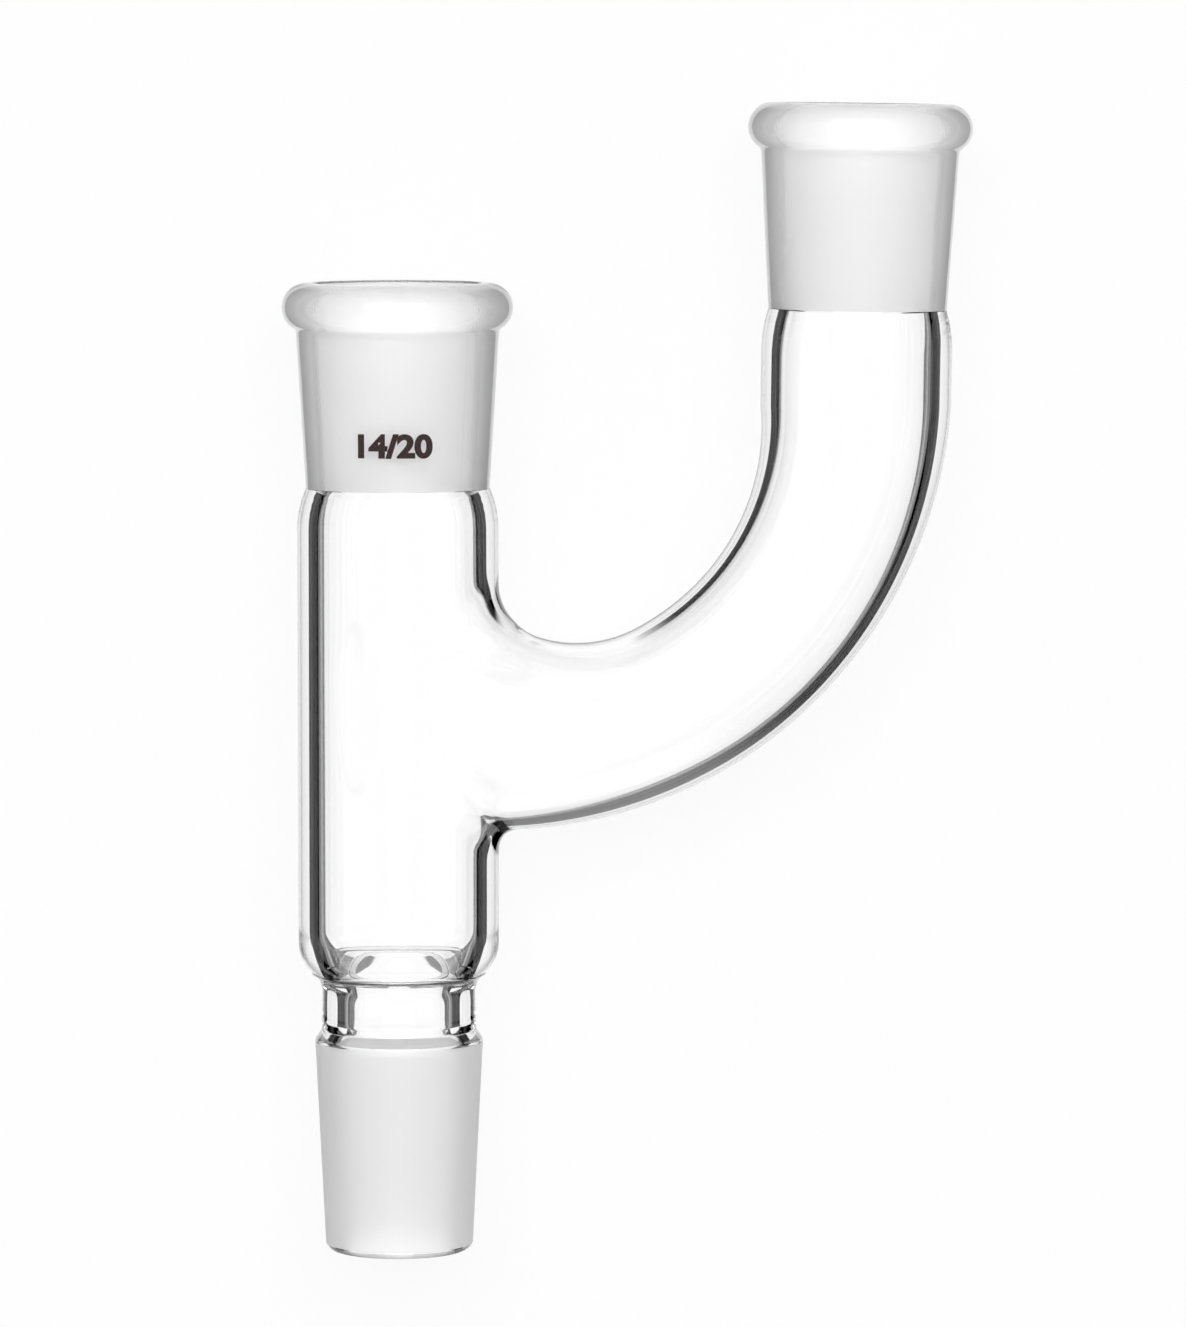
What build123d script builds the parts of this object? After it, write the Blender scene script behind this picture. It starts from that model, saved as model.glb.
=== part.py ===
"""Two-necked distilling adapter in borosilicate glass: a straight tube between a ground cone and a ground
socket, with a side arm that bends up beside it to a second socket. The whole adapter is one fused piece.

It lies on its side, as it comes to rest on a bench: the two tubes are in a level plane, +Y runs up the
straight tube from the tip of the cone, and +X points to the side arm. The forms are drawn with the tip of
the cone at the origin and the straight tube's axis on Y, and the finished glass is then moved so that the
origin is on the bench, under the middle of its box.
"""

from build123d import *
from math import acos, cos, degrees, radians, sin
import os

# Ground joints, millimetres: the size 14 taper, one in ten on the diameter
joint_r = 7.25
joint_taper = 0.1
ground_length = 17.6

# Cone at the foot of the straight tube
cone_length = 18.37
cone_tip_wall = 1.6
cone_top_wall = 1.75
cone_shoulder = 0.9
cone_round = 0.45
tip_round = 0.8
tip_bore_round = 0.5

# Neck between the cone and the body
cone_step = 0.59
neck_wall = 2.34
neck_length = 5.26
neck_bore_length = 3.9
neck_funnel = 2.1
neck_round = 1.5
neck_mouth_round = 3.4
neck_bore_round = 0.8

# Body of the straight tube
body_r = 8.655
body_wall = 1.93
body_length = 38.47
body_shoulder_round = 3.5
body_floor_round = 4.6
body_floor_rise = 0.2

# Side arm: a little slimmer than the body, inside and out, and it leaves the body square
arm_level = 20.45
arm_inset = 0.475
arm_bore_inset = 0.33
arm_reach = 9.96
arm_straight = 4.42
arm_bore_shift = 0.15

# Its bend: squeezed across and thinner in the wall, until it swells again towards the socket
bend_radius = 29.35
bend_turn = 89.2
bend_squeeze = 0.99
bend_thinning = 0.4
bend_bore_shift = 0.1
bend_swell_turn = 40.0
bend_sections = 7

# Its root, where it spreads into the body, most on the upper side, and its wall is thinnest
root_length = 24.5
root_lift = 8.0
root_drop = 1.0
root_thinning = 0.7
root_round = 2.8
root_bore_round = 2.4

# Sockets
socket_tube = 0.4
socket_shoulder = 3.5
socket_wall_growth = 0.05
main_socket_wall = 1.53
main_lip = 0.58
side_socket_wall = 1.29
side_lip = 0.28
rim_round = 2.1
rim_neck_round = 0.5
throat_step = 0.35
throat_length = 0.3
lip_round = 0.2

# How far the cutting forms run on past the ends of the glass, and how near an edge lies to where it is sought
overrun = 1.0
nearness = 0.01

# Radii that follow from these
tip_r = joint_r - joint_taper / 2 * cone_length
ground_foot_r = joint_r - joint_taper / 2 * ground_length
neck_r = joint_r - cone_step
neck_bore_r = neck_r - neck_wall
body_bore_r = body_r - body_wall
arm_r = body_r - arm_inset
arm_bore_r = body_bore_r - arm_bore_inset
arm_wall = arm_r - arm_bore_r

# Heights up the straight tube, from the tip of the cone
neck_foot = cone_length
neck_top = neck_foot + neck_length
main_socket_foot = neck_top + body_length
arm_axis = neck_top + arm_level
ground_foot = socket_tube + socket_shoulder
socket_length = ground_foot + ground_length

# The end of the side arm, where its socket starts, and the way that it points
bend_centre = Vector(arm_reach, arm_axis + bend_radius)
arm_up = Vector(cos(radians(bend_turn)), sin(radians(bend_turn)))
arm_out = Vector(arm_up.Y, -arm_up.X)
bend_end = bend_centre + arm_out * bend_radius
arm_end = bend_end + arm_up * arm_straight

main_socket_plane = Plane(origin=(0, main_socket_foot, 0), x_dir=(1, 0, 0), z_dir=(0, 0, 1))
side_socket_plane = Plane(origin=arm_end, x_dir=arm_out, z_dir=(0, 0, 1))
tip = Vector(0, 0, 0)


def corner(sketch, x, y):
    """The corner of a sketch that is nearest to a point of its own plane."""
    return sketch.vertices().sort_by_distance((x, y, 0))[0]


def turn_up(profile, plane):
    """Turns a profile that was drawn on a plane about that plane's own Y axis."""
    revolve(profile.sketch, axis=Axis(plane.origin, plane.y_dir))


def arm_sections(bored):
    """The arm's ovals, from the straight tube's axis to the socket: plane, half a width and half a height."""
    tall = arm_bore_r if bored else arm_r
    turns = [bend_turn * step / (bend_sections - 1) for step in range(bend_sections)]
    for turn in [None, *turns]:
        run = 0 if turn is None else arm_reach + radians(turn) * bend_radius
        spread = max(0, 1 - run / root_length) ** 2
        swell = max(0, ((turn or 0) - bend_swell_turn) / (bend_turn - bend_swell_turn)) ** 2
        across = arm_r - bend_squeeze * (1 - swell)
        upper = across + root_lift * spread
        lower = across + root_drop * spread
        if bored:
            wall = arm_wall - bend_thinning * (1 - swell) - root_thinning * spread
            shift = bend_bore_shift + (arm_bore_shift - bend_bore_shift) * swell
            upper += shift - wall
            lower -= shift + wall
        way = Vector(cos(radians(turn or 0)), sin(radians(turn or 0)))
        inward = Vector(-way.Y, way.X)
        start = Vector(0, arm_axis) if turn is None else bend_centre - inward * bend_radius
        middle = start + inward * (upper - lower) / 2
        yield Plane(origin=middle, x_dir=inward, z_dir=way), (upper + lower) / 2, tall
    yield Plane(origin=arm_end, x_dir=-arm_out, z_dir=arm_up), tall, tall


def arm_form(bored=False):
    """The side arm's solid form, or its bore's: one smooth skin through the ovals."""
    ovals = []
    for plane, across, tall in arm_sections(bored):
        with BuildSketch(plane) as oval:
            Ellipse(across, tall)
        ovals.append(oval.sketch)
    loft(ovals)


def socket_form(plane, tube_r, wall, lip):
    """A socket's outside, up from its tube: a drawn-in shoulder, a tapering wall and a rounded rim."""
    foot_r = ground_foot_r + wall
    rim_x = joint_r + lip
    rim_y = socket_length - rim_round
    wall_r = foot_r + socket_wall_growth + joint_taper / 2 * (rim_y - ground_foot)
    with BuildSketch(plane) as outside:
        with BuildLine():
            tube = Polyline((0, 0), (tube_r, 0), (tube_r, socket_tube))
            shoulder = TangentArc(tube @ 1, (foot_r, ground_foot), tangent=(0, 1))
            rim = Polyline(shoulder @ 1, (wall_r, rim_y), (rim_x, rim_y), (rim_x, socket_length))
            Polyline(rim @ 1, (0, socket_length), tube @ 0)
        make_face()
        with Locations((rim_x, rim_y)):
            Circle(rim_round)
        fillet(corner(outside, wall_r, rim_y - rim_round), rim_neck_round)
    turn_up(outside, plane)


def socket_bore(plane, tube_bore_r):
    """A socket's bore: from its tube into the ground taper, and on out of the mouth."""
    mouth_r = joint_r + joint_taper / 2 * overrun
    throat_r = ground_foot_r - throat_step
    with BuildSketch(plane) as bore:
        with BuildLine():
            tube = Polyline((0, 0), (tube_bore_r, 0), (tube_bore_r, socket_tube))
            throat = TangentArc(tube @ 1, (throat_r, ground_foot - throat_length), tangent=(0, 1))
            ground = Line(throat @ 1, (ground_foot_r, ground_foot))
            Polyline(ground @ 1, (mouth_r, socket_length + overrun), (0, socket_length + overrun), tube @ 0)
        make_face()
        fillet(corner(bore, throat_r, ground_foot - throat_length), throat_length)
    turn_up(bore, plane)


def rings(part, centre, radius):
    """The round edges of a part that have this centre and this radius."""
    circles = part.edges().filter_by(GeomType.CIRCLE)
    return circles.filter_by(
        lambda edge: (edge.arc_center - centre).length < nearness and abs(edge.radius - radius) < nearness
    )


def root_line(part, radius):
    """The edges where the arm's form meets the straight tube's, which has this radius."""

    def on_tube(edge):
        points = [edge @ share for share in (0.2, 0.5, 0.8)]
        return all(abs(Vector(point.X, point.Z).length - radius) < nearness for point in points)

    return part.edges(Select.NEW).filter_by(on_tube)


def column_sketch(foot, neck, neck_end, tube, shoulder_round):
    """Half the straight tube, or half its bore: up the cone and the neck, then out into the body."""
    spread = degrees(acos(1 - (tube - neck) / shoulder_round))
    with BuildSketch(Plane.XY) as half:
        with BuildLine():
            lower = Polyline(*foot, (neck, neck_end))
            shoulder = JernArc(
                start=lower @ 1,
                tangent=(sin(radians(spread)), cos(radians(spread))),
                radius=shoulder_round,
                arc_size=spread,
            )
            Polyline(shoulder @ 1, (tube, main_socket_foot), (0, main_socket_foot), lower @ 0)
        make_face()
    return half


# Outside of the glass, as if it were solid
with BuildPart() as outside:
    cone = [(0, 0), (tip_r, 0), (joint_r, cone_length), (neck_r, neck_foot + cone_shoulder)]
    with BuildSketch(Plane.XY) as column:
        add(column_sketch(cone, neck_r, neck_top, body_r, body_shoulder_round).sketch)
        fillet(corner(column, tip_r, 0), tip_round)
        fillet(corner(column, joint_r, cone_length), cone_round)
        fillet(corner(column, neck_r, neck_foot + cone_shoulder), cone_round)
        fillet(corner(column, neck_r, neck_top), neck_round)
    revolve(axis=Axis.Y)
    arm_form()
    fillet(root_line(outside, body_r), root_round)
    socket_form(main_socket_plane, body_r, main_socket_wall, main_lip)
    socket_form(side_socket_plane, arm_r, side_socket_wall, side_lip)

# The bore, right through from the tip of the cone to both mouths
with BuildPart() as bore:
    cone_bore = [
        (0, -overrun),
        (tip_r - cone_tip_wall, -overrun),
        (tip_r - cone_tip_wall, 0),
        (joint_r - cone_top_wall, neck_top - neck_bore_length - neck_funnel),
        (neck_bore_r, neck_top - neck_bore_length),
    ]
    with BuildSketch(Plane.XY) as column_bore:
        floor = neck_top + body_floor_rise
        add(column_sketch(cone_bore, neck_bore_r, floor, body_bore_r, body_floor_round).sketch)
        fillet(corner(column_bore, *cone_bore[3]), neck_bore_round)
        fillet(corner(column_bore, *cone_bore[4]), neck_bore_round)
        fillet(corner(column_bore, neck_bore_r, floor), neck_mouth_round)
    revolve(axis=Axis.Y)
    arm_form(bored=True)
    fillet(root_line(bore, body_bore_r), root_bore_round)
    socket_bore(main_socket_plane, body_bore_r)
    socket_bore(side_socket_plane, arm_bore_r)

with BuildPart() as glass:
    add(outside.part)
    add(bore.part, mode=Mode.SUBTRACT)
    main_mouth = main_socket_plane.from_local_coords((0, socket_length, 0))
    side_mouth = side_socket_plane.from_local_coords((0, socket_length, 0))
    for mouth in (main_mouth, side_mouth):
        fillet(rings(glass, mouth, joint_r), lip_round)
    fillet(rings(glass, tip, tip_r - cone_tip_wall), tip_bore_round)

# The glass laid on the bench, with the origin under the middle of its box
box = glass.part.bounding_box()
middle = box.center()
with BuildPart() as claisen_adapter:
    with Locations((-middle.X, -middle.Y, -box.min.Z)):
        add(glass.part)

claisen_adapter.part.label = "claisen_adapter"
os.makedirs("parts", exist_ok=True)
export_step(claisen_adapter.part, "parts/claisen_adapter.step")
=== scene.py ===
"""Looks of a two-necked distilling adapter in borosilicate glass, on a pale floor and seen from above.

The glass is one closed mesh. The straight tube is spun from its wall's section. The side arm is drawn
out of a window in it, ring by ring, over the rim of its socket and back through the bore to a second
window. Sizes are millimetres in the tube's own frame, with the tip of the cone at the origin and the
straight tube's axis on Y, until the finished piece is placed in the frame.
"""

from math import atan2, cos, hypot, pi, radians, sin, sqrt, tan

import bmesh
import bpy
import numpy as np
from mathutils import Matrix, Vector


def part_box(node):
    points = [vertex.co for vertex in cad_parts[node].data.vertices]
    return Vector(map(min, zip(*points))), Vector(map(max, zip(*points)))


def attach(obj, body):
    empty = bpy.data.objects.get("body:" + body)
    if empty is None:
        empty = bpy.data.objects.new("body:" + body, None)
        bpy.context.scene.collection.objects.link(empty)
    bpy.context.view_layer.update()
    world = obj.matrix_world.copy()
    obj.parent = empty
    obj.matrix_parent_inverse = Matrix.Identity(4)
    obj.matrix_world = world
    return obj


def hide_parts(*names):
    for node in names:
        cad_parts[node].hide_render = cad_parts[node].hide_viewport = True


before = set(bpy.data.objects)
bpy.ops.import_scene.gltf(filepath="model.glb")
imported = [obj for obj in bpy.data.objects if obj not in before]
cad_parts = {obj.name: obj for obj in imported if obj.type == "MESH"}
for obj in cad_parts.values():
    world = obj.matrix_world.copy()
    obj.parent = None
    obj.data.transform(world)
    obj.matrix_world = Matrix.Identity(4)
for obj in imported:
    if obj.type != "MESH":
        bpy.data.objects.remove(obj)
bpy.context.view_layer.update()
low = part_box("claisen_adapter")[0]

# A millimetre in the shared frame, which is in metres
mm = 0.001

# Ground joints: the size 14 taper, one in ten on the diameter
joint_r = 7.25
joint_taper = 0.1
ground_length = 17.6

# Cone
cone_length = 18.37
cone_tip_wall = 1.6
cone_top_wall = 1.75
cone_shoulder = 0.9
cone_round = 0.45
tip_round = 0.8
tip_bore_round = 0.5

# Neck
neck_r = 6.66
neck_bore_r = 4.32
neck_length = 5.26
neck_bore_length = 3.9
neck_funnel = 2.1
neck_round = 1.5
neck_mouth_round = 3.4
neck_bore_round = 0.8
neck_funnel_round = 0.8

# Body of the straight tube
body_r = 8.655
body_bore_r = 6.725
body_length = 38.47
body_shoulder_round = 3.5
body_floor_round = 4.6
body_floor_rise = 0.2

# Side arm and its bend
arm_level = 20.45
arm_r = 8.18
arm_bore_r = 6.395
arm_wall = arm_r - arm_bore_r
arm_reach = 9.96
arm_straight = 4.42
arm_bore_shift = 0.15
bend_radius = 29.35
bend_turn = 89.2
bend_squeeze = 0.99
bend_thinning = 0.4
bend_bore_shift = 0.1
bend_swell_turn = 40.0

# The arm's root: how it spreads, and how widely it blends into the body beside, above and below it
root_length = 24.5
root_lift = 8.0
root_drop = 1.0
root_thinning = 0.7
blend_beside = 0.6
blend_above, blend_below = 3.4, 1.8
bore_blend_above, bore_blend_below = 4.2, 3.2

# Sockets
socket_tube = 0.4
socket_shoulder = 3.5
socket_wall_growth = 0.05
rim_round = 2.1
rim_neck_round = 0.5
throat_step = 0.35
throat_length = 0.3
lip_round = 0.2
main_socket_wall, main_lip = 1.53, 0.58
side_socket_wall, side_lip = 1.29, 0.28

# Heights up the straight tube, and radii that follow
tip_r = joint_r - joint_taper / 2 * cone_length
ground_foot_r = joint_r - joint_taper / 2 * ground_length
neck_top = cone_length + neck_length
main_socket_foot = neck_top + body_length
arm_axis = neck_top + arm_level
ground_foot = socket_tube + socket_shoulder
socket_length = ground_foot + ground_length

# Lengths along the arm, to the end of its bend and to its socket, and the way that its socket points
bend_end = arm_reach + bend_radius * radians(bend_turn)
arm_end = bend_end + arm_straight
arm_up = Vector((cos(radians(bend_turn)), sin(radians(bend_turn)), 0))

# The tube's frame in the shared one: its axes lie as high as the straight socket's rim is wide
main_rim_r = (joint_r + main_lip + rim_round) * mm
tube_frame = Matrix.Translation((low.x + main_rim_r, low.y, main_rim_r)) @ Matrix.Scale(mm, 4)

# How finely the glass is drawn
column_steps = 128
arc_step = radians(5)
window_columns = 29
window_rows = 26
window_low, window_high = 32.5, 58.5
root_rings = 36
root_end = 15.0
root_passes = 60
arm_ring_step = 0.6

# Refractive index of borosilicate glass
glass_ior = 1.474


def linear(hex_colour):
    """An sRGB colour such as "C8D0D4" as the linear values that a shader takes."""
    shares = [int(hex_colour[at : at + 2], 16) / 255 for at in (0, 2, 4)]
    return [
        *(share / 12.92 if share <= 0.04045 else ((share + 0.055) / 1.055) ** 2.4 for share in shares),
        1.0,
    ]


def add_node(tree, kind, links=None, **settings):
    """Adds one node. Settings are its properties, links its inputs: a value, or another node's output."""
    node = tree.nodes.new(kind)
    for name, value in settings.items():
        setattr(node, name, value)
    for name, value in (links or {}).items():
        if isinstance(value, bpy.types.NodeSocket):
            tree.links.new(value, node.inputs[name])
        else:
            node.inputs[name].default_value = value
    return node


def new_material(name):
    """A material with nothing in it but its output."""
    material = bpy.data.materials.new(name)
    material.use_nodes = True
    tree = material.node_tree
    tree.nodes.clear()
    return material, tree, tree.nodes.new("ShaderNodeOutputMaterial")


def new_object(name, bm, materials):
    """Makes a bmesh an object in the scene, smooth all over."""
    mesh = bpy.data.meshes.new(name)
    for face in bm.faces:
        face.smooth = True
    bm.to_mesh(mesh)
    bm.free()
    for material in materials:
        mesh.materials.append(material)
    piece = bpy.data.objects.new(name, mesh)
    bpy.context.scene.collection.objects.link(piece)
    return piece


def relief(tree, size, depth, strength):
    """A surface relief of this size and depth in millimetres."""
    place = add_node(tree, "ShaderNodeTexCoord").outputs["Object"]
    links = {"Vector": place, "Scale": 1 / (size * mm), "Detail": 1.0}
    noise = add_node(tree, "ShaderNodeTexNoise", links)
    links = {"Height": noise.outputs["Fac"], "Strength": strength, "Distance": depth * mm}
    return add_node(tree, "ShaderNodeBump", links).outputs["Normal"]


def clear_glass():
    """Drawn borosilicate tube: clear all through, smooth from the flame and left faintly wavy by it."""
    material, tree, output = new_material("borosilicate_clear")
    look = {
        "Base Color": linear("FFFFFF"),
        "Roughness": 0.0,
        "IOR": glass_ior,
        "Transmission Weight": 1.0,
        "Normal": relief(tree, size=14.0, depth=0.005, strength=1.0),
    }
    glass = add_node(tree, "ShaderNodeBsdfPrincipled", look)
    tree.links.new(glass.outputs["BSDF"], output.inputs["Surface"])
    return material


def ground_glass():
    """The same glass ground with fine abrasive to fit a joint: satin, pale and only half seen through.

    The real grit leaves pits of a few hundredths of a millimetre. They are drawn several times coarser,
    so that a little of the grain shows.
    """
    material, tree, output = new_material("borosilicate_ground")
    look = {
        "Base Color": linear("FCFCFC"),
        "Roughness": 0.45,
        "IOR": glass_ior,
        "Transmission Weight": 0.38,
        "Normal": relief(tree, size=0.16, depth=0.02, strength=0.35),
    }
    glass = add_node(tree, "ShaderNodeBsdfPrincipled", look)
    tree.links.new(glass.outputs["BSDF"], output.inputs["Surface"])
    return material


def printed_ink():
    """Fired red-brown marking enamel: dark, matt and a few hundredths of a millimetre thick."""
    material, tree, output = new_material("size_mark_enamel")
    look = {"Base Color": linear("2A0101"), "Roughness": 0.8, "Specular IOR Level": 0.0}
    ink = add_node(tree, "ShaderNodeBsdfPrincipled", look)
    tree.links.new(ink.outputs["BSDF"], output.inputs["Surface"])
    return material


def arc(centre, radius, start, end):
    """Points along an arc, from one angle to another."""
    steps = max(2, round(abs(end - start) / arc_step))
    turns = [start + (end - start) * step / steps for step in range(steps + 1)]
    return [centre + Vector((cos(turn), sin(turn))) * radius for turn in turns]


def rounded(corners):
    """Points along a line through corners (x, y, round), with an arc at each corner but the two ends."""
    straight = radians(1)
    points = [Vector(corners[0][:2])]
    for before, (x, y, radius), after in zip(corners, corners[1:], corners[2:]):
        corner = Vector((x, y))
        arriving = (corner - Vector(before[:2])).normalized()
        leaving = (Vector(after[:2]) - corner).normalized()
        turn = atan2(arriving.x * leaving.y - arriving.y * leaving.x, arriving.dot(leaving))
        if radius == 0 or abs(turn) < straight:
            points.append(corner)
            continue
        side = 1 if turn > 0 else -1
        across = Vector((-arriving.y, arriving.x)) * side
        centre = corner - arriving * radius * tan(abs(turn) / 2) + across * radius
        start = atan2(-across.y, -across.x)
        points += arc(centre, radius, start, start + turn)
    return points + [Vector(corners[-1][:2])]


def drawn_in(tube, foot, narrow, top):
    """The corner of an arc that leaves a tube along its wall at its foot and ends narrower at its top."""
    rise = top - foot
    half_turn = atan2(tube - narrow, rise)
    radius = rise / sin(2 * half_turn)
    return tube, foot + radius * tan(half_turn), radius


def socket_line(foot, tube_r, tube_bore_r, wall, lip):
    """A socket's section: up its outside, over its rim and down its ground taper to the tube's bore."""
    foot_r = ground_foot_r + wall
    shoulder_foot, shoulder_top, mouth = foot + socket_tube, foot + ground_foot, foot + socket_length
    throat_r, throat = ground_foot_r - throat_step, shoulder_top - throat_length
    rim = Vector((joint_r + lip, mouth - rim_round))
    wall_r = foot_r + socket_wall_growth + joint_taper / 2 * (rim.y - shoulder_top)
    reach = wall_r + rim_neck_round - rim.x
    hollow = rim + Vector((reach, -sqrt((rim_round + rim_neck_round) ** 2 - reach**2)))
    under = atan2(hollow.y - rim.y, reach)
    shoulder = drawn_in(tube_r, shoulder_foot, foot_r, shoulder_top)
    inner_shoulder = drawn_in(tube_bore_r, shoulder_foot, throat_r, throat)
    return [
        *rounded([(tube_r, foot, 0), shoulder, (foot_r, shoulder_top, 0)]),
        *arc(hollow, rim_neck_round, pi, pi + under),
        *arc(rim, rim_round, under, pi / 2),
        *rounded([(rim.x, mouth, 0), (joint_r, mouth, lip_round), (ground_foot_r, shoulder_top, 0)]),
        *rounded([(throat_r, throat, 0), inner_shoulder, (tube_bore_r, foot, 0)]),
    ]


def tidied(points):
    """Drops points that repeat, and adds one near each end of a long run, so that it shades straight."""
    nearest, hold, long_run = 0.005, 0.03, 0.5
    kept = [points[0]]
    for point in points[1:]:
        gap = (point - kept[-1]).length
        if gap < nearest:
            continue
        if gap > long_run:
            kept += [kept[-1].lerp(point, hold / gap), point.lerp(kept[-1], hold / gap)]
        kept.append(point)
    return kept


def shoulder_corner(neck, neck_end, tube, shoulder_round):
    """The corner of an arc that leads out from a neck into a tube that it meets squarely."""
    spread = np.arccos(1 - (tube - neck) / shoulder_round)
    return tube, neck_end + (tube - neck) / tan(spread), shoulder_round


def column_line():
    """The whole wall section of the straight tube, from the tip up the outside and back down the bore."""
    bore_tip_r = tip_r - cone_tip_wall
    funnel_foot = neck_top - neck_bore_length - neck_funnel
    floor = neck_top + body_floor_rise
    middle = (tip_r + bore_tip_r) / 2
    outside = [
        (middle, 0, 0),
        (tip_r, 0, tip_round),
        (joint_r, cone_length, cone_round),
        (neck_r, cone_length + cone_shoulder, cone_round),
        (neck_r, neck_top, neck_round),
        shoulder_corner(neck_r, neck_top, body_r, body_shoulder_round),
        (body_r, main_socket_foot, 0),
    ]
    inside = [
        (body_bore_r, main_socket_foot, 0),
        shoulder_corner(neck_bore_r, floor, body_bore_r, body_floor_round),
        (neck_bore_r, floor, neck_mouth_round),
        (neck_bore_r, neck_top - neck_bore_length, neck_bore_round),
        (joint_r - cone_top_wall, funnel_foot, neck_funnel_round),
        (bore_tip_r, 0, tip_bore_round),
        (middle, 0, 0),
    ]
    socket = socket_line(main_socket_foot, body_r, body_bore_r, main_socket_wall, main_lip)
    return [*rounded(outside), *socket, *rounded(inside)]


def with_rows(points):
    """Cuts the two straight runs of the body where the rows of the arm's window come."""
    upright = 0.01
    rows = [window_low + (window_high - window_low) * row / window_rows for row in range(window_rows + 1)]
    cut = []
    for start, end in zip(points, points[1:]):
        cut.append(start)
        between = [row for row in rows if min(start.y, end.y) < row < max(start.y, end.y)]
        if abs(start.x - end.x) < upright and between:
            cut += [Vector((start.x, row)) for row in sorted(between, reverse=end.y < start.y)]
    return cut + [points[-1]]


def spin_column(bm):
    """Spins the wall section once round the straight tube's axis."""
    points = with_rows(tidied(column_line()))
    section = [bm.verts.new((point.x, point.y, 0)) for point in points[:-1]]
    edges = [bm.edges.new(pair) for pair in zip(section, section[1:] + section[:1])]
    bmesh.ops.spin(
        bm,
        geom=section + edges,
        cent=(0, 0, 0),
        axis=(0, 1, 0),
        angle=2 * pi,
        steps=column_steps,
        use_merge=True,
    )


def on_wall(point, radius, nearness):
    """Whether a point lies on the straight tube's wall of this radius."""
    return abs(hypot(point.x, point.z) - radius) < nearness


def open_window(bm, radius):
    """Opens the arm's window in the body at this radius, and gives its edge in order from the top."""
    nearness = 0.2
    half_angle = 2 * pi / column_steps * window_columns
    doomed = []
    for face in bm.faces:
        at = face.calc_center_median()
        facing = at.x > hypot(at.x, at.z) * cos(half_angle)
        if on_wall(at, radius, nearness) and window_low < at.y < window_high and facing:
            doomed.append(face)
    bmesh.ops.delete(bm, geom=doomed, context="FACES")
    edge = {v for v in bm.verts if v.is_boundary and on_wall(v.co, radius, nearness)}
    first = max(edge, key=lambda v: (round(v.co.y, 2), v.co.x))
    beside = [e.other_vert(first) for e in first.link_edges if e.is_boundary]
    ring = [first, max(beside, key=lambda v: v.co.z)]
    while len(ring) < len(edge):
        steps = [e.other_vert(ring[-1]) for e in ring[-1].link_edges if e.is_boundary]
        ring.append(next(v for v in steps if v is not ring[-2]))
    return ring


def arm_place(run):
    """The arm's centre line this far along: a point, and the way that its inner side faces."""
    if run > bend_end:
        at, inward = arm_place(bend_end)
        return at + arm_up * (run - bend_end), inward
    turn = max(0.0, (run - arm_reach) / bend_radius)
    inward = Vector((-sin(turn), cos(turn), 0))
    if turn == 0:
        return Vector((run, arm_axis, 0)), inward
    return Vector((arm_reach, arm_axis + bend_radius, 0)) - inward * bend_radius, inward


def arm_oval(run, bored):
    """The arm's oval this far along: how far in its middle lies, and half its width and its height."""
    turn = np.degrees(np.maximum(0, run - arm_reach) / bend_radius)
    spread = np.maximum(0, 1 - np.maximum(0, run) / root_length) ** 2
    swell = np.clip((turn - bend_swell_turn) / (bend_turn - bend_swell_turn), 0, 1) ** 2
    across = arm_r - bend_squeeze * (1 - swell)
    upper = across + root_lift * spread
    lower = across + root_drop * spread
    if not bored:
        return (upper - lower) / 2, (upper + lower) / 2, arm_r
    wall = arm_wall - bend_thinning * (1 - swell) - root_thinning * spread
    shift = bend_bore_shift + (arm_bore_shift - bend_bore_shift) * swell
    upper = upper + shift - wall
    lower = lower - shift - wall
    return (upper - lower) / 2, (upper + lower) / 2, arm_bore_r


def oval(centre, inward, across, tall, count):
    """Points round an oval, from its inner side towards the camera."""
    turns = [2 * pi * step / count for step in range(count)]
    return [centre + inward * across * cos(turn) + Vector((0, 0, tall * sin(turn))) for turn in turns]


def arm_ring(run, bored, count):
    """Points round the arm this far along."""
    at, inward = arm_place(run)
    middle, across, tall = arm_oval(run, bored)
    return oval(at + inward * middle, inward, across, tall, count)


def socket_ring(radius, height, shift, count):
    """Points round the side socket at a radius and a height up from the end of the arm."""
    at, inward = arm_place(arm_end)
    return oval(at + arm_up * height + inward * shift, inward, radius, radius, count)


def draw_ring(bm, ring, points):
    """Draws a ring of the mesh out to new points, and gives the new ring in the same order."""
    edges = [bm.edges.get(pair) for pair in zip(ring, ring[1:] + ring[:1])]
    made = bmesh.ops.extrude_edge_only(bm, edges=edges)["geom"]
    new = {part for part in made if isinstance(part, bmesh.types.BMVert)}
    drawn = [next(e.other_vert(v) for e in v.link_edges if e.other_vert(v) in new) for v in ring]
    for v, point in zip(drawn, points):
        v.co = point
    return drawn


def skin_distance(points, bored):
    """How far points lie outside the two tubes' common skin, with the crotch between them rounded."""
    least_share, fading = 0.01, 0.15
    x, y, z = points.T
    tube = np.hypot(x, z) - (body_bore_r if bored else body_r)
    past, under = x - arm_reach, arm_axis + bend_radius - y
    turned = past > 0
    run = np.where(turned, arm_reach + np.arctan2(past, under) * bend_radius, x)
    inwards = np.where(turned, bend_radius - np.hypot(past, under), y - arm_axis)
    middle, across, tall = arm_oval(run, bored)
    offset = inwards - middle
    share = np.maximum(np.hypot(offset / across, z / tall), least_share)
    arm = (1 - 1 / share) * np.hypot(offset, z) + fading * np.minimum(x, 0) ** 2
    above, below = (bore_blend_above, bore_blend_below) if bored else (blend_above, blend_below)
    widest = np.where(offset > 0, above, below)
    blend = blend_beside + (widest - blend_beside) * np.clip(1 - (z / tall) ** 2, 0, 1)
    meet = np.maximum(blend - np.abs(tube - arm), 0) / blend
    return np.minimum(tube, arm) - meet**2 * blend / 4


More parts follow.
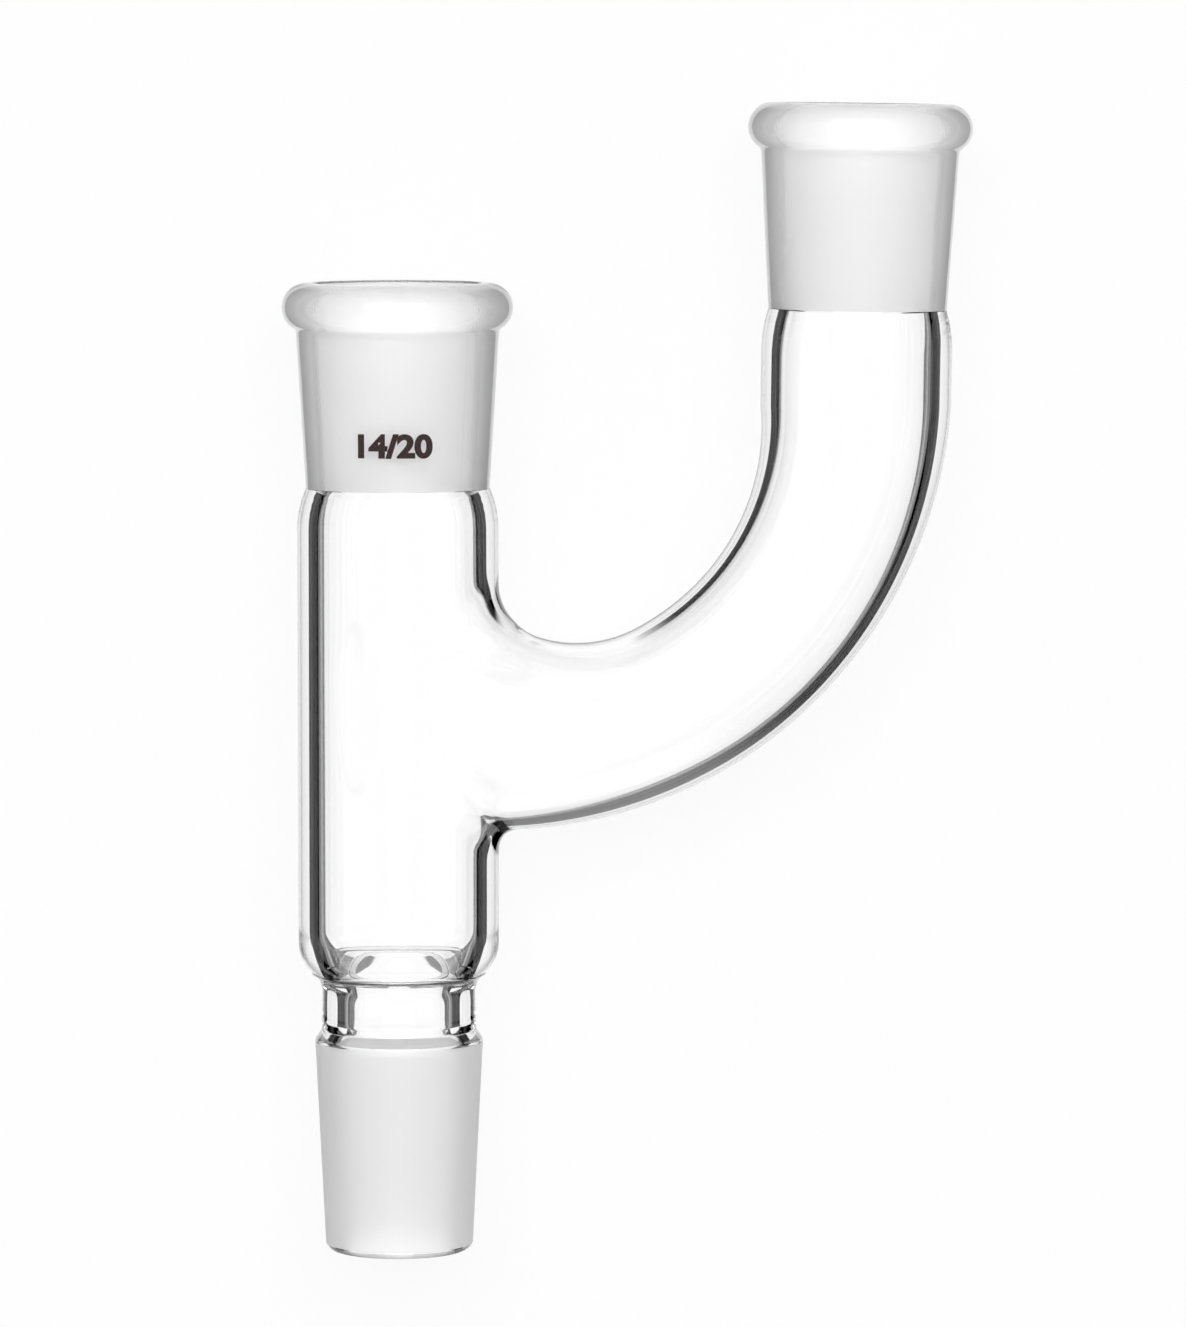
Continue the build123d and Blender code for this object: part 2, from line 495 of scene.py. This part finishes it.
def settle_root(bm, verts, bored):
    """Spaces the root's points evenly and lays them on the skin of the two tubes."""
    probe, moves, least_slope = 0.001, 3, 0.1
    for _ in range(root_passes):
        bmesh.ops.smooth_vert(
            bm, verts=verts, factor=0.5, use_axis_x=True, use_axis_y=True, use_axis_z=True
        )
        points = np.array([v.co for v in verts], float)
        for _ in range(moves):
            away = skin_distance(points, bored)
            steps = [skin_distance(points + probe * axis, bored) - away for axis in np.eye(3)]
            slope = np.stack(steps, axis=1) / probe
            points -= slope * (away / np.maximum((slope**2).sum(axis=1), least_slope))[:, None]
        for v, point in zip(verts, points):
            v.co = point


def draw_root(bm, window, end):
    """Draws the rings across the root, and gives the last one and the points of those before it."""
    ring, made = window, []
    starts = [v.co.copy() for v in window]
    for step in range(1, root_rings + 1):
        share = step / root_rings
        ring = draw_ring(bm, ring, [a.lerp(b, share) for a, b in zip(starts, end)])
        made += ring
    return ring, made[: -len(ring)]


def near_window(bm, radius):
    """The points of the body's wall close round the arm's window."""
    nearness, margin, furthest_back = 0.05, 2, -3
    lowest, highest = window_low - margin, window_high + margin
    wall = [v for v in bm.verts if on_wall(v.co, radius, nearness)]
    return [v for v in wall if lowest < v.co.y < highest and v.co.x > furthest_back]


def make_glass(clear, ground):
    """The whole adapter as one closed skin, clear but for its three ground joints."""
    bm = bmesh.new()
    spin_column(bm)
    outer_window = open_window(bm, body_r)
    bore_window = open_window(bm, body_bore_r)
    count = len(outer_window)

    steps = round((bend_end - root_end) / arm_ring_step)
    runs = [root_end + (bend_end - root_end) * step / steps for step in range(steps + 1)]

    around = near_window(bm, body_r)
    ring, root = draw_root(bm, outer_window, arm_ring(root_end, False, count))
    for run in runs[1:]:
        ring = draw_ring(bm, ring, arm_ring(run, False, count))
    for point in tidied(socket_line(0, arm_r, arm_bore_r, side_socket_wall, side_lip)):
        shift = arm_bore_shift * max(0, 1 - point.y / ground_foot) if point.x < joint_r else 0
        ring = draw_ring(bm, ring, socket_ring(point.x, point.y, shift, count))
    for run in reversed(runs):
        ring = draw_ring(bm, ring, arm_ring(run, True, count))
    settle_root(bm, around + root, False)

    around = near_window(bm, body_bore_r)
    ring, root = draw_root(bm, ring, [v.co.copy() for v in bore_window])
    bmesh.ops.weld_verts(bm, targetmap=dict(zip(ring, bore_window)))
    settle_root(bm, around + root, True)

    bmesh.ops.recalc_face_normals(bm, faces=bm.faces)
    mark_ground(bm)
    bmesh.ops.transform(bm, matrix=tube_frame, verts=bm.verts)
    return new_object("adapter_glass", bm, [clear, ground])


def mark_ground(bm):
    """Gives the ground finish to the cone's outside and to both sockets' tapers."""
    tip_margin, top_margin, foot_margin, depth = 0.6, 0.2, 0.1, 0.3
    end, inward = arm_place(arm_end)

    def in_taper(radius, height):
        return radius < joint_r and ground_foot - foot_margin < height < socket_length - lip_round

    for face in bm.faces:
        at = face.calc_center_median()
        radius = hypot(at.x, at.z)
        on_cone = radius > tip_r - depth and tip_margin < at.y < cone_length - top_margin
        in_main = in_taper(radius, at.y - main_socket_foot)
        at -= end
        in_side = in_taper(hypot(at.dot(inward), at.z), at.dot(arm_up))
        face.material_index = int(on_cone or in_main or in_side)


def make_size_mark(ink):
    """The joint's standard size, printed on the front of the straight socket."""
    text_height, text_width, text_weight = 2.1, 6.5, 0.045
    ink_foot, ink_top = 0.008, 0.03
    strips = 40
    nearness = 1e-4

    # Rows of the photo where the tip of the cone and the foot of the text come, and rows to a millimetre
    tip_row, text_row, rows_per_mm = 1249.5, 448.5, 11.62
    text_foot = (tip_row - text_row) / rows_per_mm

    curve = bpy.data.curves.new("size_mark_text", "FONT")
    curve.body = "14/20"
    curve.align_x = "CENTER"
    curve.offset = text_weight
    text = bpy.data.objects.new("size_mark_text", curve)
    bpy.context.scene.collection.objects.link(text)
    bpy.context.view_layer.update()
    bm = bmesh.new()
    bm.from_mesh(text.to_mesh())
    bpy.data.objects.remove(text)
    bmesh.ops.remove_doubles(bm, verts=bm.verts, dist=nearness)

    # Stretched flat to its size, then cut into strips so that it can bend round the socket
    lows = [min(v.co[axis] for v in bm.verts) for axis in (0, 1)]
    highs = [max(v.co[axis] for v in bm.verts) for axis in (0, 1)]
    wide, tall = text_width / (highs[0] - lows[0]), text_height / (highs[1] - lows[1])
    centre = (lows[0] + highs[0]) / 2
    for v in bm.verts:
        v.co = Vector(((v.co.x - centre) * wide, (v.co.y - lows[1]) * tall + text_foot, 0))
    for strip in range(1, strips):
        cut = Vector((text_width * (strip / strips - 0.5), 0, 0))
        geometry = bm.verts[:] + bm.edges[:] + bm.faces[:]
        bmesh.ops.bisect_plane(bm, geom=geometry, dist=nearness, plane_co=cut, plane_no=(1, 0, 0))

    made = bmesh.ops.extrude_face_region(bm, geom=bm.faces[:])["geom"]
    raised = {part for part in made if isinstance(part, bmesh.types.BMVert)}
    for v in bm.verts:
        height = v.co.y - main_socket_foot - ground_foot
        radius = ground_foot_r + main_socket_wall + joint_taper / 2 * height
        radius += ink_top if v in raised else ink_foot
        v.co = Vector((radius * sin(v.co.x / radius), v.co.y, radius * cos(v.co.x / radius)))
    bmesh.ops.recalc_face_normals(bm, faces=bm.faces)
    bmesh.ops.transform(bm, matrix=tube_frame, verts=bm.verts)
    piece = new_object("size_mark", bm, [ink])
    for face in piece.data.polygons:
        face.use_smooth = False
    return piece


def make_floor():
    """A pale floor that keeps a soft shadow. The glass bends and mirrors the studio round it instead."""
    plain_share = 0.9
    half_width = 3
    material, tree, output = new_material("studio_floor")
    matt = add_node(tree, "ShaderNodeBsdfDiffuse", {"Color": linear("F8F8F8")})
    plain = add_node(tree, "ShaderNodeEmission", {"Color": linear("FFFFFF"), "Strength": 1.0})
    path = add_node(tree, "ShaderNodeLightPath")
    links = {0: path.outputs["Is Camera Ray"], 1: plain_share}
    share = add_node(tree, "ShaderNodeMath", links, operation="MULTIPLY")
    links = {0: share.outputs[0], 1: matt.outputs[0], 2: plain.outputs[0]}
    mixed = add_node(tree, "ShaderNodeMixShader", links)
    tree.links.new(mixed.outputs[0], output.inputs["Surface"])
    bm = bmesh.new()
    bmesh.ops.create_grid(bm, x_segments=1, y_segments=1, size=half_width)
    floor = new_object("studio_floor", bm, [material])
    floor.visible_transmission = False
    floor.visible_glossy = False


# The studio by the angle from straight down, in degrees, and its brightness there: white paper, black
# card, a gap, black card, then pale walls
side_cards = [
    (0, 1.0),
    (29.5, 1.0),
    (30.3, 0.0),
    (55, 0.0),
    (56, 0.2),
    (61, 0.2),
    (62.5, 0.55),
    (66, 0.15),
    (70, 0.0),
    (76, 0.0),
    (79, 1.0),
]

# The cards don't reach round the adapter's two ends. A level direction counts from 0, square to the
# straight tube, to 1, along it: over the first pair the cards give way to white past the sockets, and
# over the second to a dim grey past the cone.
open_side = (0.75, 0.92)
near_side, near_level = (0.75, 0.97), 0.2

# How bright the whole studio is to matt surfaces
room_light = 0.3


def make_studio():
    """White paper under the glass, black cards round it with a gap between them, and pale walls above."""
    least_level = 0.0001
    world = bpy.data.worlds.new("studio")
    bpy.context.scene.world = world
    world.use_nodes = True
    tree = world.node_tree
    tree.nodes.clear()
    output = tree.nodes.new("ShaderNodeOutputWorld")

    def number(operation, first, second=0.0, third=0.0):
        links = {0: first, 1: second, 2: third}
        return add_node(tree, "ShaderNodeMath", links, operation=operation).outputs[0]

    def eased(value, start, end, level):
        links = {"Value": value, "From Min": start, "From Max": end, "To Max": level}
        return add_node(tree, "ShaderNodeMapRange", links, interpolation_type="SMOOTHSTEP").outputs[0]

    def stepped(stops, angle):
        ramp = add_node(tree, "ShaderNodeValToRGB", {"Fac": number("DIVIDE", angle, pi)})
        elements = ramp.color_ramp.elements
        while len(elements) < len(stops):
            elements.new(1.0)
        for element, (degrees_down, brightness) in zip(elements, stops):
            element.position = degrees_down / 180
            element.color = (brightness, brightness, brightness, 1)
        return ramp.outputs["Color"]

    way = add_node(tree, "ShaderNodeTexCoord").outputs["Generated"]
    split = add_node(tree, "ShaderNodeSeparateXYZ", {0: way})
    x, y, z = (split.outputs[axis] for axis in "XYZ")
    angle = number("ARCCOSINE", number("MULTIPLY", z, -1.0))
    square = number("MULTIPLY_ADD", x, x, number("MULTIPLY", y, y))
    level = number("MAXIMUM", number("SQRT", square), least_level)
    upwards = number("DIVIDE", y, level)
    opened = eased(upwards, *open_side, 1.0)
    nearer = eased(number("MULTIPLY", upwards, -1.0), *near_side, near_level)
    lit = number("MAXIMUM", stepped(side_cards, angle), number("MAXIMUM", opened, nearer))
    path = add_node(tree, "ShaderNodeLightPath")
    seen = number("MAXIMUM", lit, path.outputs["Is Camera Ray"])
    matt = number("MULTIPLY", number("SUBTRACT", seen, room_light), path.outputs["Is Diffuse Ray"])
    links = {"Color": linear("FFFFFF"), "Strength": number("SUBTRACT", seen, matt)}
    background = add_node(tree, "ShaderNodeBackground", links)
    tree.links.new(background.outputs[0], output.inputs["Surface"])


def make_softbox():
    """A soft lamp overhead, a little towards the sockets, which lights the floor and the ground glass."""
    distance, tilt = 1.2, radians(20)
    half_width, half_depth = distance * tan(radians(28)), distance * tan(radians(17))
    brightness = 4.0
    lamp = bpy.data.lights.new("softbox", "AREA")
    lamp.shape = "RECTANGLE"
    lamp.size, lamp.size_y = 2 * half_width, 2 * half_depth
    lamp.energy = brightness * pi * lamp.size * lamp.size_y
    softbox = bpy.data.objects.new("softbox", lamp)
    softbox.location = (0, distance * sin(tilt), distance * cos(tilt))
    softbox.rotation_euler = (-tilt, 0, 0)
    softbox.visible_camera = False
    bpy.context.scene.collection.objects.link(softbox)


def make_camera():
    """Looks down on the adapter with a long lens, from a little above its sockets."""
    picture_height = 1327
    focal_pixels = 7077
    distance, tilt = 609 * mm, radians(4.86)
    view_centre = Vector((16.76, 50.86, 0))
    aim = tube_frame @ view_centre
    camera = bpy.data.cameras.new("camera")
    camera.lens = focal_pixels * camera.sensor_width / picture_height
    viewer = bpy.data.objects.new("camera", camera)
    viewer.location = aim + Vector((0, sin(tilt), cos(tilt))) * distance
    viewer.rotation_euler = (-tilt, 0, 0)
    bpy.context.scene.collection.objects.link(viewer)
    bpy.context.scene.camera = viewer


make_camera()
make_studio()
make_softbox()
make_floor()

glass = make_glass(clear_glass(), ground_glass())
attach(glass, "root")
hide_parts("claisen_adapter")

size_mark = make_size_mark(printed_ink())
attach(size_mark, "root")

bpy.context.scene.view_settings.view_transform = "Standard"
